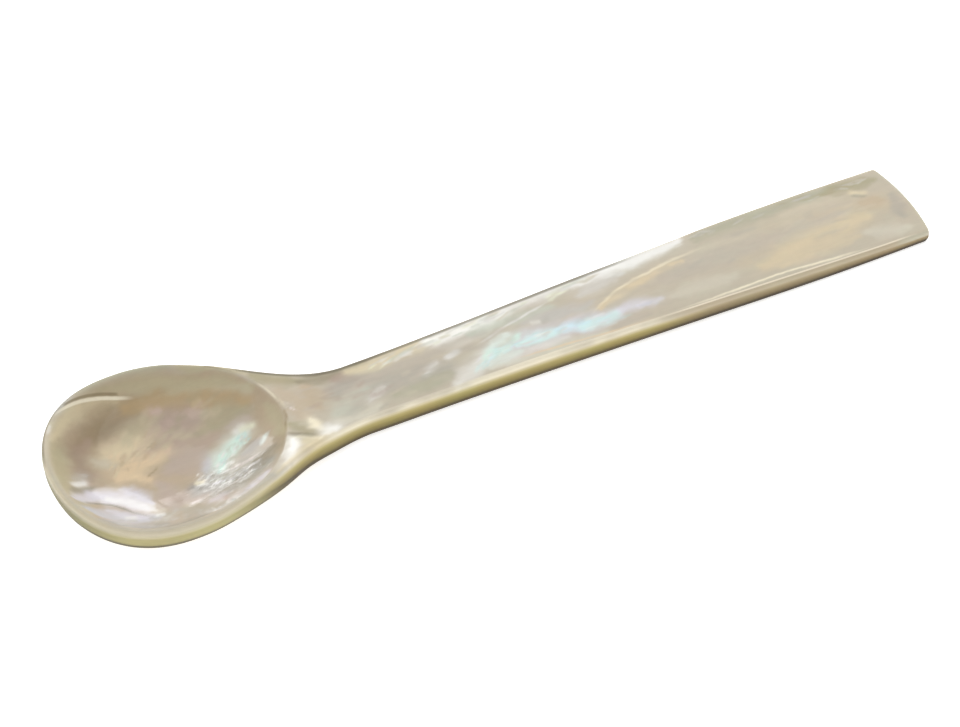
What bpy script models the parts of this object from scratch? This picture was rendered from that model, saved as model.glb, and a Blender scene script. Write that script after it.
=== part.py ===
"""Egg spoon, sawn, ground and hollowed from one piece of mother-of-pearl.

One solid: an egg-shaped bowl, a narrow neck and a flat handle that widens to an
arched end. It lies on the table on a small ground flat under the bowl and on
the underside of the handle's end. +X runs from the bowl to the handle's end,
+Z is up, the origin is on the table under the middle of the spoon.
"""

from math import atan2, cos, exp, hypot, pi, sin, sqrt

import bmesh
import bpy

MM = 0.001

# ---- driving dimensions, millimetres --------------------------------------
LENGTH = 125.9          # station of the crown of the handle's end
WIDEST_X = 13.65        # station of the bowl's greatest width
BOWL_HALF = 14.45       # half the bowl's greatest width
TIP_POWER = 2.36        # fullness of the bowl's rounded tip
TIP_PULL = 0.063        # how much the tip is drawn out, as a share of WIDEST_X
TIP_PULL_DEG = 35.0     # angle either side of the spine that the pull reaches
NECK_X = 42.8           # station where the bowl's flanks have run into the handle
WAIST_HALF = 5.1        # half-width at the waist
END_HALF = 7.1          # half-width near the handle's end
FLARE_FROM, FLARE_TO = 39.0, 121.0
END_SAG = 0.7           # how far the arched end bulges past its corners
END_SKEW = 0.35         # how far the end is cut askew, longer on the -Y side
END_CORNER = 0.7        # plan radius of the end's two corners

RIM_Z = 7.5             # height of the bowl's rim above the table
RIM_FALL_FROM = 18.8    # station where the rim starts to fall to the neck
NECK_Z = 3.95           # top face at the neck
END_Z = 2.15            # top face at the handle's end
DROOP_POWER = 2.5       # how late along the handle the top face falls away

HOLLOW_DEPTH = 5.6      # rim to the deepest point of the hollow
HOLLOW_REACH = 18.2     # hollow, from the widest station towards the neck
LIP = 0.9               # width of the lip between the hollow and the outline
HOLLOW_SKEW = 0.12      # the hollow leans towards one shoulder
FLOOR_POWER = 2.2       # flatness of the hollow's floor
WALL_STEEP = 0.6        # extra steepness of the hollow's wall

EDGE_TOP = 0.45         # radius along the top edge
EDGE_UNDER = 0.85       # radius along the underside's edge on the handle
SIDE_BAND = 1.05        # upright band below the bowl's rim
BELLY_POWER = 2.25      # fullness of the bowl's back
FLAT_CUT = 0.12         # depth ground off the bowl's back for its flat
ARCH = 0.25             # height of the handle's underside above the table
HEEL_FROM, HEEL_TO = 84.0, 114.0   # where the underside comes down to the table
HEEL_CUT = 0.05         # depth ground off under the handle's end
CROWN = 0.12            # camber of the handle's top face

MIDDLE_X = 0.5 * (LENGTH - TIP_PULL * WIDEST_X)   # station over the origin

# ---- mesh density ----------------------------------------------------------
LIP_STEPS = (0.0, 0.25, 1.0)   # outline to the hollow's edge
HOLLOW_N = 14                  # cells across the hollow
HOLLOW_M = 16                  # cells along the hollow
HANDLE_ROWS = 34
END_ROWS = (0.976, 0.989, 0.996, 1.0)
BLEND = 13.0                   # length over which the curved rows straighten


def clamp(t):
    return min(1.0, max(0.0, t))


def smooth(t):
    t = clamp(t)
    return t * t * (3.0 - 2.0 * t)


def fall(t):
    """Raised cosine from 1 down to 0."""
    return 0.5 * (1.0 + cos(pi * clamp(t)))


def half_width(x):
    """Half the plan width at station x, from the widest station onwards."""
    handle = WAIST_HALF + (END_HALF - WAIST_HALF) * smooth(
        (x - FLARE_FROM) / (FLARE_TO - FLARE_FROM)
    )
    w = handle + (BOWL_HALF - handle) * fall((x - WIDEST_X) / (NECK_X - WIDEST_X))
    back = LENGTH - x
    if back < END_CORNER:
        w -= END_CORNER - sqrt(max(0.0, END_CORNER**2 - (END_CORNER - back) ** 2))
    return w


def face_z(x):
    """Height of the top face, and of the bowl's rim, at station x."""
    drop = clamp((x - NECK_X) / (LENGTH - NECK_X)) ** DROOP_POWER
    handle = NECK_Z - (NECK_Z - END_Z) * drop
    return handle + (RIM_Z - handle) * fall((x - RIM_FALL_FROM) / (NECK_X - RIM_FALL_FROM))


def keel_z(x):
    """Height of the underside along the centre line before the flats are ground."""
    z = -FLAT_CUT + (ARCH + FLAT_CUT) * smooth((x - 20.0) / 25.0)
    return z - (ARCH + HEEL_CUT) * smooth((x - HEEL_FROM) / (HEEL_TO - HEEL_FROM))


def outline_share(x, y):
    """0 on the spine, 1 on the outline."""
    if x >= WIDEST_X:
        return abs(y) / half_width(x)
    along, across = (WIDEST_X - x) / WIDEST_X, abs(y) / BOWL_HALF
    return (along**TIP_POWER + across**TIP_POWER) ** (1.0 / TIP_POWER)


def under_z(x, y, from_end):
    """Height of the underside: round under the bowl, square under the handle."""
    s = smooth((x - 17.0) / 29.0)
    keel = keel_z(x)
    corner = 1.0 + (EDGE_UNDER / half_width(max(x, WIDEST_X)) - 1.0) * s
    bowl_rise = face_z(x) - EDGE_TOP - SIDE_BAND - keel
    rise = bowl_rise + (EDGE_UNDER - bowl_rise) * s
    power = BELLY_POWER + (2.0 - BELLY_POWER) * s
    t_side = clamp((outline_share(x, y) - (1.0 - corner)) / corner)
    t_end = clamp(1.0 - from_end / EDGE_UNDER)
    t = min(1.0, hypot(t_side, t_end))
    return max(0.0, keel + rise * (1.0 - (1.0 - t**power) ** (1.0 / power)))


def edge_drop(from_side, from_end):
    """How far the rounded top edge lies below the top face."""
    t = min(1.0, hypot(clamp(1.0 - from_side / EDGE_TOP), clamp(1.0 - from_end / EDGE_TOP)))
    return EDGE_TOP * (1.0 - sqrt(1.0 - t * t))


# ---- plan of the hollow and of the lip around it ---------------------------
def to_disc(p, q):
    return p * sqrt(1.0 - 0.5 * q * q), q * sqrt(1.0 - 0.5 * p * p)


def hollow_plan(p, q):
    """Plan point and radius share for a point of the hollow's square grid."""
    u, v = to_disc(p, q)
    r, a = hypot(u, v), atan2(v, u)
    reach, power = (HOLLOW_REACH, 2.0) if cos(a) > 0.0 else (WIDEST_X - LIP, TIP_POWER)
    edge = ((abs(cos(a)) / reach) ** power + (abs(sin(a)) / (BOWL_HALF - LIP)) ** power) ** (-1.0 / power)
    x, y = r * edge * cos(a), r * edge * sin(a)
    x += HOLLOW_SKEW * y * clamp(x / HOLLOW_REACH)
    return WIDEST_X + x, y, r


def outline_at(x, y):
    """Point of the outline on the ray from the bowl's centre through (x, y)."""
    a = atan2(y, x - WIDEST_X)
    if cos(a) <= 0.0:
        edge = ((abs(cos(a)) / WIDEST_X) ** TIP_POWER + (abs(sin(a)) / BOWL_HALF) ** TIP_POWER) ** (-1.0 / TIP_POWER)
        return WIDEST_X + edge * cos(a), edge * sin(a)
    low, high = WIDEST_X, 60.0
    for _ in range(50):
        mid = 0.5 * (low + high)
        if atan2(half_width(mid), mid - WIDEST_X) > abs(a):
            low = mid
        else:
            high = mid
    return low, half_width(low) * (1.0 if y > 0.0 else -1.0)


def pull_tip(x, y):
    """Draw the bowl's tip out along the spine."""
    dx = x - WIDEST_X
    off_spine = abs(atan2(y, -dx)) * 180.0 / pi
    g = 1.0 + TIP_PULL * exp(-((off_spine / TIP_PULL_DEG) ** 2)) * clamp(hypot(dx, y) / 12.0) ** 2
    return WIDEST_X + dx * g, y * g


def hollow_point(p, q):
    x, y, r = hollow_plan(p, q)
    f = r**FLOOR_POWER
    return x, y, face_z(x) - HOLLOW_DEPTH * (1.0 - f) * (1.0 + WALL_STEEP * f), 99.0


def lip_point(p, q, lam):
    bx, by, _ = hollow_plan(p, q)
    ox, oy = outline_at(bx, by)
    x, y = ox + (bx - ox) * lam, oy + (by - oy) * lam
    return x, y, face_z(x) - edge_drop(lam * hypot(bx - ox, by - oy), 99.0), 99.0


def handle_point(s, q, lam):
    """s runs along the handle, q across it, lam from the outline inwards."""
    first = hollow_plan(1.0, q) if lam >= 1.0 else lip_point(1.0, q, lam)
    start = hollow_plan(1.0, 0.0)[0]
    spine = start + (LENGTH - start) * s
    straight = smooth((spine - start) / BLEND)
    row = spine + (first[0] - start) * (1.0 - straight)
    w = half_width(row)
    inset = LIP / half_width(min(row, LENGTH - END_CORNER))
    across_end = q * (1.0 - inset * lam)
    across = first[1] / half_width(first[0]) * (1.0 - straight) + across_end * straight
    bulge = (END_SAG * across * across + END_SKEW * across) * smooth((row - 100.0) / (LENGTH - 100.0))
    camber = CROWN * smooth((row - 36.0) / 20.0) * across * across
    z = face_z(row) - camber - edge_drop(w * (1.0 - abs(across)), LENGTH - row)
    return row - bulge, across * w, z, LENGTH - row


# ---- patches -----------------------------------------------------------------
def strip_border(t):
    """Walk the hollow's border: one flank, round the tip, the other flank."""
    n, m = HOLLOW_N, HOLLOW_M
    k = round(t * (2 * m + n))
    if k <= m:
        return 1.0 - 2.0 * k / m, -1.0
    if k <= m + n:
        return -1.0, -1.0 + 2.0 * (k - m) / n
    return -1.0 + 2.0 * (k - m - n) / m, 1.0


def hollow_patch(u, v):
    return hollow_point(2.0 * u - 1.0, 2.0 * v - 1.0)


def lip_patch(u, v):
    p, q = strip_border(u)
    return lip_point(p, q, LIP_STEPS[round(v * (len(LIP_STEPS) - 1))])


def handle_patch(u, v):
    rows = HANDLE_ROWS + len(END_ROWS)
    k = round(u * rows)
    s = END_ROWS[0] * (k / (HANDLE_ROWS + 1.0)) if k <= HANDLE_ROWS else END_ROWS[k - HANDLE_ROWS - 1]
    lips = len(LIP_STEPS) - 1
    cols = HOLLOW_N + 2 * lips
    c = round(v * cols)
    if c < lips:
        return handle_point(s, -1.0, LIP_STEPS[c])
    if c > cols - lips:
        return handle_point(s, 1.0, LIP_STEPS[cols - c])
    return handle_point(s, -1.0 + 2.0 * (c - lips) / HOLLOW_N, 1.0)


def add_patch(bm, nu, nv, rule, underside):
    """A grid of nu by nv cells, laid onto the rule's surface."""
    made = bmesh.ops.create_grid(bm, x_segments=nu, y_segments=nv, size=1.0)
    for vert in made["verts"]:
        u, v = 0.5 * (vert.co.x + 1.0), 0.5 * (vert.co.y + 1.0)
        x, y, z, from_end = rule(u, v)
        if underside:
            station = x if from_end > 90.0 else LENGTH - from_end
            z = under_z(station, y, from_end)
        x, y = pull_tip(x, y)
        vert.co = ((x - MIDDLE_X) * MM, y * MM, z * MM)


def build_spoon(collection):
    lips = len(LIP_STEPS) - 1
    bm = bmesh.new()
    for underside in (False, True):
        add_patch(bm, HOLLOW_M, HOLLOW_N, hollow_patch, underside)
        add_patch(bm, 2 * HOLLOW_M + HOLLOW_N, lips, lip_patch, underside)
        add_patch(bm, HANDLE_ROWS + len(END_ROWS), HOLLOW_N + 2 * lips, handle_patch, underside)
    bmesh.ops.remove_doubles(bm, verts=bm.verts, dist=0.00002)
    rim = [e for e in bm.edges if e.is_boundary]
    bmesh.ops.bridge_loops(bm, edges=rim)
    bmesh.ops.recalc_face_normals(bm, faces=bm.faces)
    bmesh.ops.triangulate(bm, faces=bm.faces)

    mesh = bpy.data.meshes.new("spoon")
    bm.to_mesh(mesh)
    bm.free()
    mesh.shade_smooth()
    spoon = bpy.data.objects.new("spoon", mesh)
    collection.objects.link(spoon)
    return spoon


def nacre():
    mat = bpy.data.materials.new("nacre")
    mat.use_nodes = True
    bsdf = mat.node_tree.nodes["Principled BSDF"]
    bsdf.inputs["Base Color"].default_value = (0.62, 0.55, 0.44, 1.0)
    bsdf.inputs["Roughness"].default_value = 0.18
    bsdf.inputs["Metallic"].default_value = 0.0
    return mat


def main():
    for obj in list(bpy.data.objects):
        bpy.data.objects.remove(obj, do_unlink=True)
    parts = bpy.data.collections.new("egg_spoon")
    bpy.context.scene.collection.children.link(parts)
    spoon = build_spoon(parts)
    spoon.data.materials.append(nacre())


main()
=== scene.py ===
import math

import bmesh
import bpy
import numpy as np
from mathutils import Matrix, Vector


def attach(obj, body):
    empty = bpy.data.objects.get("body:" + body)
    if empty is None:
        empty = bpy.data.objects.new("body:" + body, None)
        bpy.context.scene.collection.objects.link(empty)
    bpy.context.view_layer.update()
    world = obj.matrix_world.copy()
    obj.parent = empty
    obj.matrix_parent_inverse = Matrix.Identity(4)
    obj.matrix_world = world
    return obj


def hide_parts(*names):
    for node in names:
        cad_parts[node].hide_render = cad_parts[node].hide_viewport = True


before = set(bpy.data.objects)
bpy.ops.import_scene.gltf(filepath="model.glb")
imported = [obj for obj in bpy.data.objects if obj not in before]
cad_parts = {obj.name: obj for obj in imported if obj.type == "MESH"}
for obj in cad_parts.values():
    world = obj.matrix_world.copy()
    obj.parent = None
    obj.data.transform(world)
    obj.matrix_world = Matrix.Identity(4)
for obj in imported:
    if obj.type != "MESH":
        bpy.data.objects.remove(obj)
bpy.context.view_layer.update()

MM = 0.001

# ---- the spoon's form, the same dimensions as the solid, millimetres -------
LENGTH, WIDEST_X, BOWL_HALF, TIP_POWER = 125.9, 13.65, 14.45, 2.36
TIP_PULL, TIP_PULL_DEG = 0.063, 35.0
NECK_X, WAIST_HALF, END_HALF = 42.8, 5.1, 7.1
FLARE_FROM, FLARE_TO, END_SAG, END_SKEW, END_CORNER = 39.0, 121.0, 0.7, 0.35, 0.7
RIM_Z, RIM_FALL_FROM, NECK_Z, END_Z, DROOP_POWER = 7.5, 18.8, 3.95, 2.15, 2.5
HOLLOW_DEPTH, HOLLOW_REACH, LIP, HOLLOW_SKEW = 5.6, 18.2, 0.9, 0.12
FLOOR_POWER, WALL_STEEP = 2.2, 0.6
EDGE_TOP, EDGE_UNDER, SIDE_BAND, BELLY_POWER = 0.45, 0.85, 1.05, 2.25
FLAT_CUT, ARCH, HEEL_FROM, HEEL_TO, HEEL_CUT, CROWN = 0.12, 0.25, 84.0, 114.0, 0.05, 0.12
MIDDLE_X = 0.5 * (LENGTH - TIP_PULL * WIDEST_X)
BLEND = 13.0

# ---- mesh density of the visible skin --------------------------------------
N, M = 100, 116                                  # cells across and along the hollow
LIPS = np.array([0.0, 0.09, 0.19, 0.31, 0.45, 0.61, 0.79, 1.0])
ROWS = 276
WALL = 6


def clamp(t):
    return np.clip(t, 0.0, 1.0)


def smooth(t):
    t = clamp(t)
    return t * t * (3.0 - 2.0 * t)


def fall(t):
    return 0.5 * (1.0 + np.cos(np.pi * clamp(t)))


def half_width(x):
    handle = WAIST_HALF + (END_HALF - WAIST_HALF) * smooth((x - FLARE_FROM) / (FLARE_TO - FLARE_FROM))
    w = handle + (BOWL_HALF - handle) * fall((x - WIDEST_X) / (NECK_X - WIDEST_X))
    c = np.maximum(END_CORNER - (LENGTH - x), 0.0)
    return w - np.where(c > 0.0, END_CORNER - np.sqrt(np.maximum(0.0, END_CORNER**2 - c**2)), 0.0)


def face_z(x):
    drop = clamp((x - NECK_X) / (LENGTH - NECK_X)) ** DROOP_POWER
    handle = NECK_Z - (NECK_Z - END_Z) * drop
    return handle + (RIM_Z - handle) * fall((x - RIM_FALL_FROM) / (NECK_X - RIM_FALL_FROM))


def keel_z(x):
    z = -FLAT_CUT + (ARCH + FLAT_CUT) * smooth((x - 20.0) / 25.0)
    return z - (ARCH + HEEL_CUT) * smooth((x - HEEL_FROM) / (HEEL_TO - HEEL_FROM))


def outline_share(x, y):
    back = np.abs(y) / half_width(np.maximum(x, WIDEST_X))
    along, across = np.maximum(WIDEST_X - x, 0.0) / WIDEST_X, np.abs(y) / BOWL_HALF
    tip = (along**TIP_POWER + across**TIP_POWER) ** (1.0 / TIP_POWER)
    return np.where(x >= WIDEST_X, back, tip)


def under_z(x, y, from_end):
    s = smooth((x - 17.0) / 29.0)
    keel = keel_z(x)
    corner = 1.0 + (EDGE_UNDER / half_width(np.maximum(x, WIDEST_X)) - 1.0) * s
    bowl_rise = face_z(x) - EDGE_TOP - SIDE_BAND - keel
    rise = bowl_rise + (EDGE_UNDER - bowl_rise) * s
    power = BELLY_POWER + (2.0 - BELLY_POWER) * s
    t_side = clamp((outline_share(x, y) - (1.0 - corner)) / corner)
    t_end = clamp(1.0 - from_end / EDGE_UNDER)
    t = np.minimum(1.0, np.hypot(t_side, t_end))
    return np.maximum(0.0, keel + rise * (1.0 - np.maximum(0.0, 1.0 - t**power) ** (1.0 / power)))


def edge_drop(from_side, from_end):
    t = np.minimum(1.0, np.hypot(clamp(1.0 - from_side / EDGE_TOP), clamp(1.0 - from_end / EDGE_TOP)))
    return EDGE_TOP * (1.0 - np.sqrt(1.0 - t * t))


def hollow_plan(p, q):
    u, v = p * np.sqrt(1.0 - 0.5 * q * q), q * np.sqrt(1.0 - 0.5 * p * p)
    r, a = np.hypot(u, v), np.arctan2(v, u)
    ca, sa, b = np.abs(np.cos(a)), np.abs(np.sin(a)), BOWL_HALF - LIP
    neck = ((ca / HOLLOW_REACH) ** 2 + (sa / b) ** 2) ** -0.5
    tip = ((ca / (WIDEST_X - LIP)) ** TIP_POWER + (sa / b) ** TIP_POWER) ** (-1.0 / TIP_POWER)
    edge = np.where(np.cos(a) > 0.0, neck, tip)
    x, y = r * edge * np.cos(a), r * edge * np.sin(a)
    return WIDEST_X + x + HOLLOW_SKEW * y * clamp(x / HOLLOW_REACH), y, r


def outline_at(x, y):
    a = np.arctan2(y, x - WIDEST_X)
    ca, sa = np.abs(np.cos(a)), np.abs(np.sin(a))
    edge = ((ca / WIDEST_X) ** TIP_POWER + (sa / BOWL_HALF) ** TIP_POWER) ** (-1.0 / TIP_POWER)
    low, high = np.full_like(a, WIDEST_X), np.full_like(a, 60.0)
    for _ in range(45):
        mid = 0.5 * (low + high)
        over = np.arctan2(half_width(mid), mid - WIDEST_X) > np.abs(a)
        low, high = np.where(over, mid, low), np.where(over, high, mid)
    tip = np.cos(a) <= 0.0
    return (np.where(tip, WIDEST_X + edge * np.cos(a), low),
            np.where(tip, edge * np.sin(a), half_width(low) * np.sign(y)))


def pull_tip(x, y):
    dx = x - WIDEST_X
    off_spine = np.degrees(np.abs(np.arctan2(y, -dx)))
    g = 1.0 + TIP_PULL * np.exp(-((off_spine / TIP_PULL_DEG) ** 2)) * clamp(np.hypot(dx, y) / 12.0) ** 2
    return WIDEST_X + dx * g, y * g


def near_waist(x, y):
    """The near shoulder is ground in a little more than the far one."""
    return 0.42 * np.exp(-(((x - 32.0) / 3.6) ** 2)) * smooth(-y / half_width(np.maximum(x, WIDEST_X)))


# ---- smooth pseudo-random fields, the same on every run --------------------
def hash01(ix, iy, seed):
    h = (ix * 374761393 + iy * 668265263 + seed * 974634777) & 0xFFFFFFFF
    h = ((h ^ (h >> 13)) * 1274126177) & 0xFFFFFFFF
    return ((h ^ (h >> 16)) & 0xFFFF) / 65535.0


def noise(x, y, seed=0):
    ix, iy = np.floor(x).astype(np.int64), np.floor(y).astype(np.int64)
    fx, fy = x - ix, y - iy
    fx, fy = fx**3 * (fx * (fx * 6 - 15) + 10), fy**3 * (fy * (fy * 6 - 15) + 10)
    a, b = hash01(ix, iy, seed), hash01(ix + 1, iy, seed)
    c, d = hash01(ix, iy + 1, seed), hash01(ix + 1, iy + 1, seed)
    return (a + (b - a) * fx) * (1 - fy) + (c + (d - c) * fx) * fy - 0.5


def fbm(x, y, seed=0, octaves=4):
    out, amp = 0.0, 1.0
    for k in range(octaves):
        out = out + amp * noise(x * 2.0**k + 17.3 * k, y * 2.0**k - 9.1 * k, seed + k)
        amp *= 0.5
    return out


def line_distance(x, y, points):
    """Distance from each plan point to a polyline, and how far along it the nearest point lies, 0 to 1."""
    if len(points) == 1:
        return np.hypot(x - points[0][0], y - points[0][1]), np.zeros_like(x)
    best, share = np.full_like(x, 1e9), np.zeros_like(x)
    for k, ((ax, ay), (bx, by)) in enumerate(zip(points[:-1], points[1:])):
        vx, vy = bx - ax, by - ay
        t = clamp(((x - ax) * vx + (y - ay) * vy) / (vx * vx + vy * vy))
        d = np.hypot(x - ax - t * vx, y - ay - t * vy)
        near = d < best
        best, share = np.where(near, d, best), np.where(near, (k + t) / (len(points) - 1), share)
    return best, share


# ---- relief: what the grinding and the shell's layers leave in the surface --
def ledge_field(x, y):
    """Signed distance inwards from a layer step on the far wall of the hollow, and its strength."""
    dx = WIDEST_X - x
    ang, r = np.degrees(np.arctan2(y, dx)), np.hypot(dx, y)
    ca, sa = np.abs(np.cos(np.radians(ang))), np.abs(np.sin(np.radians(ang)))
    rim = ((ca / WIDEST_X) ** TIP_POWER + (sa / BOWL_HALF) ** TIP_POWER) ** (-1.0 / TIP_POWER)
    d = (rim - r) - (0.28 + 0.0535 * (ang - 50.7)) + 0.10 * noise(ang * 0.09, 0.0 * ang, 5)
    return np.clip(d, -9.0, 9.0), smooth((ang - 47.0) / 14.0) * smooth((101.0 - ang) / 14.0)


GROOVE = [(1.8, -2.95), (3.0, -2.7), (4.6, -2.45), (5.9, -2.75), (6.9, -3.7), (7.9, -5.2), (9.2, -6.6), (10.6, -7.6), (12.2, -8.3)]

VALLEY = [(1.2, -2.1), (2.6, -1.2), (4.4, -0.3), (6.2, 0.5), (7.4, 0.7), (8.6, 0.1), (9.9, -1.0), (10.9, -2.1), (11.5, -4.0), (11.8, -5.6), (12.2, -7.6)]


NECK_EDGE = [(31.9, 3.6), (31.9, 1.4), (31.7, -0.3), (31.3, -1.7), (30.4, -4.4), (29.4, -6.2)]


def shoulder_field(x, y):
    """Signed distance to the near side of the crease where the neck turns into the shoulder, and its strength."""
    e = -0.394 * (x - 30.4) - 0.919 * (y + 4.4)
    s = 0.919 * (x - 30.4) - 0.394 * (y + 4.4)
    return e, smooth((s + 7.5) / 4.0) * smooth((6.5 - s) / 4.0) * smooth((x - 24.0) / 4.0)


def ridge_window(x, y):
    return smooth(1.35 - np.hypot((x - 21.6) / 6.3, (y + 5.7) / 3.6))


def relief(x, y, edge):
    d, s = ledge_field(x, y)
    z = -0.20 * s * smooth((d + 0.20) / 0.40) * np.exp(-np.maximum(d, 0.0) / 2.4)
    g, share = line_distance(x, y, GROOVE)
    z -= 0.075 * np.exp(-((g / 0.30) ** 2)) * smooth(share / 0.15) * smooth((1.0 - share) / 0.15)
    v, share = line_distance(x, y, VALLEY)
    z -= 0.10 * np.exp(-((v / 1.1) ** 2)) * smooth(share / 0.2) * smooth((1.0 - share) / 0.25)
    e, s = shoulder_field(x, y)
    z -= 0.035 * s * np.clip(x - 27.0, 0.0, 4.2) * smooth((e + 0.10) / 0.35) * smooth((37.0 - x) / 4.0)
    w = ridge_window(x, y)
    v = 0.99 * (y + 5.0) - 0.11 * (x - 22.0) + 1.5 * fbm(x * 0.30, y * 0.42, 31, 3)
    crest = 1.0 - np.abs(np.cos(np.pi * v / 0.95))
    z += w * (0.05 * crest * (0.55 + 1.1 * noise(x * 0.35, y * 0.6, 33)) + 0.08 * fbm(x * 0.7, y * 1.5, 37, 3))
    z += 0.05 * smooth((x - 33.0) / 8.0) * fbm(x * 0.11, y * 0.24, 41, 3)
    z += 0.03 * smooth((31.0 - x) / 4.0) * fbm(x * 0.3, y * 0.3, 43, 3)
    near = smooth((x - 80.0) / 9.0) * smooth((125.0 - x) / 7.0) * (y < 0.0)
    z -= 0.13 * near * 0.5 * ((0.95 - edge) + np.sqrt((0.95 - edge) ** 2 + 0.004)) * (edge < 3.0)
    blown = 0.16 * smooth((x - 76.5) / 6.0) * smooth((95.6 - x) / 2.6) + 0.22 * np.exp(-(((x - 57.0) / 5.0) ** 2))
    far = (blown + 0.16 * smooth((x - 40.0) / 8.0) * smooth((97.0 - x) / 4.0)) * (y > 0.0) * (1.0 + 0.6 * fbm(x * 0.3, y * 0.9, 47, 3))
    e = np.maximum(0.0, 2.3 - edge)
    z -= far * (0.045 * e**2 + 0.05 * np.maximum(0.0, e - 0.4) ** 2 / (e + 0.4))
    return z


def lip_round(x, y):
    """How softly the hollow's edge is rounded over: soft round the tip, crisp where it meets the neck."""
    return 0.10 + 0.55 * smooth((27.0 - x + 0.35 * np.abs(y)) / 9.0)


def rolled(depth, c):
    return 0.5 * (depth + np.sqrt(depth * depth + c * c))


def hollow_point(p, q):
    x, y, r = hollow_plan(p, q)
    f = r**FLOOR_POWER
    ox, oy = outline_at(x, y)
    wide = np.hypot(ox - WIDEST_X, oy) - np.hypot(x - WIDEST_X, y) / np.maximum(r, 0.05)
    edge = LIP + (np.clip(wide, 0.4, 1.6) - LIP) * smooth((27.0 - x) / 4.0) + (1.0 - r) * 12.0
    z = face_z(x) - rolled(HOLLOW_DEPTH * (1.0 - f) * (1.0 + WALL_STEEP * f), lip_round(x, y))
    z = z - edge_drop(np.maximum(wide, 0.0) + (1.0 - r) * 12.0, 99.0)      # meets the lip where that is narrow
    return x, y, z + relief(x, y, edge), np.full_like(x, 99.0), edge


def lip_plain(p, q, lam):
    """Plan point on the lip, from the outline (lam 0) to the hollow's edge (lam 1), and the lip's width there."""
    bx, by, _ = hollow_plan(p, q)
    ox, oy = outline_at(bx, by)
    return ox + (bx - ox) * lam, oy + (by - oy) * lam, np.hypot(bx - ox, by - oy)


def lip_point(p, q, lam):
    x, y, wide = lip_plain(p, q, lam)
    z = face_z(x) - edge_drop(lam * wide, 99.0) - rolled(-1.45 * wide * (1.0 - lam), lip_round(x, y))
    return x, y, z + relief(x, y, lam * wide), np.full_like(x, 99.0), lam * wide


def handle_point(s, q, lam):
    one = np.ones_like(q)
    fx, fy, _ = hollow_plan(one, q)
    lx, ly, wide = lip_plain(one, np.where(q >= 0.0, 1.0, -1.0), lam)
    fx, fy = np.where(lam < 1.0, lx, fx), np.where(lam < 1.0, ly, fy)
    start = WIDEST_X + HOLLOW_REACH
    spine = start + (LENGTH - start) * s
    straight = smooth((spine - start) / BLEND)
    row = spine + (fx - start) * (1.0 - straight)
    w = half_width(row)
    inset = LIP / half_width(np.minimum(row, LENGTH - END_CORNER))
    across = fy / half_width(fx) * (1.0 - straight) + q * (1.0 - inset * lam) * straight
    bulge = (END_SAG * across**2 + END_SKEW * across) * smooth((row - 100.0) / (LENGTH - 100.0))
    camber = CROWN * smooth((row - 36.0) / 20.0) * across**2
    side = w * (1.0 - np.abs(across))
    x, y = row - bulge, across * w
    away = wide * (1.0 - lam) + np.hypot(x - fx, y - fy)
    z = face_z(row) - camber - edge_drop(side, LENGTH - row) - rolled(-1.45 * away, lip_round(fx, fy))
    return x, y, z + relief(x, y, side), LENGTH - row, np.minimum(side, LENGTH - row)


# ---- build the skin ---------------------------------------------------------
TOP, HOLLOW, UNDER, SIDE = 0, 1, 2, 3
verts, quads, plan, kind, rim_gap, depth_share, facing, layout = [], [], [], [], [], [], [], []
strip = 0
count = 0


def add_grid(x, y, z, edge, depth, code, run=None):
    """One patch of the skin: edge is the gap to the outline, depth is 0 at the top edge of a wall and 1 at its foot."""
    global count, strip
    nu, nv = x.shape
    i = np.arange(nu * nv).reshape(nu, nv) + count
    q = np.stack([i[:-1, :-1], i[1:, :-1], i[1:, 1:], i[:-1, 1:]], -1).reshape(-1, 4)
    count += nu * nv
    px, py = pull_tip(x, y)
    py = py + near_waist(x, y)
    p = np.stack([px, py, z], -1)
    n = np.cross(np.gradient(p, axis=0), np.gradient(p, axis=1))
    n = np.abs(n[..., 2]) / np.maximum(np.linalg.norm(n, axis=-1), 1e-9)
    if code == SIDE:                        # each wall is its own strip of the bake layout
        u, v = run / 130.0, 0.004 + 0.028 * strip + 0.022 * np.broadcast_to(depth, x.shape)
        strip += 1
    else:
        low, high = (0.13, 0.49) if code == UNDER else (0.52, 0.99)
        u, v = (px + 2.0) / 130.0, low + (high - low) * (py + 15.0) / 30.0
    verts.append(p.reshape(-1, 3))
    plan.append(np.stack([x, y], -1).reshape(-1, 2))
    kind.append(np.full(nu * nv, code))
    rim_gap.append(np.broadcast_to(edge, x.shape).ravel())
    depth_share.append(np.broadcast_to(depth, x.shape).ravel())
    facing.append(n.ravel())
    layout.append(np.stack([u, v], -1).reshape(-1, 2))
    quads.append(q)


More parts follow.
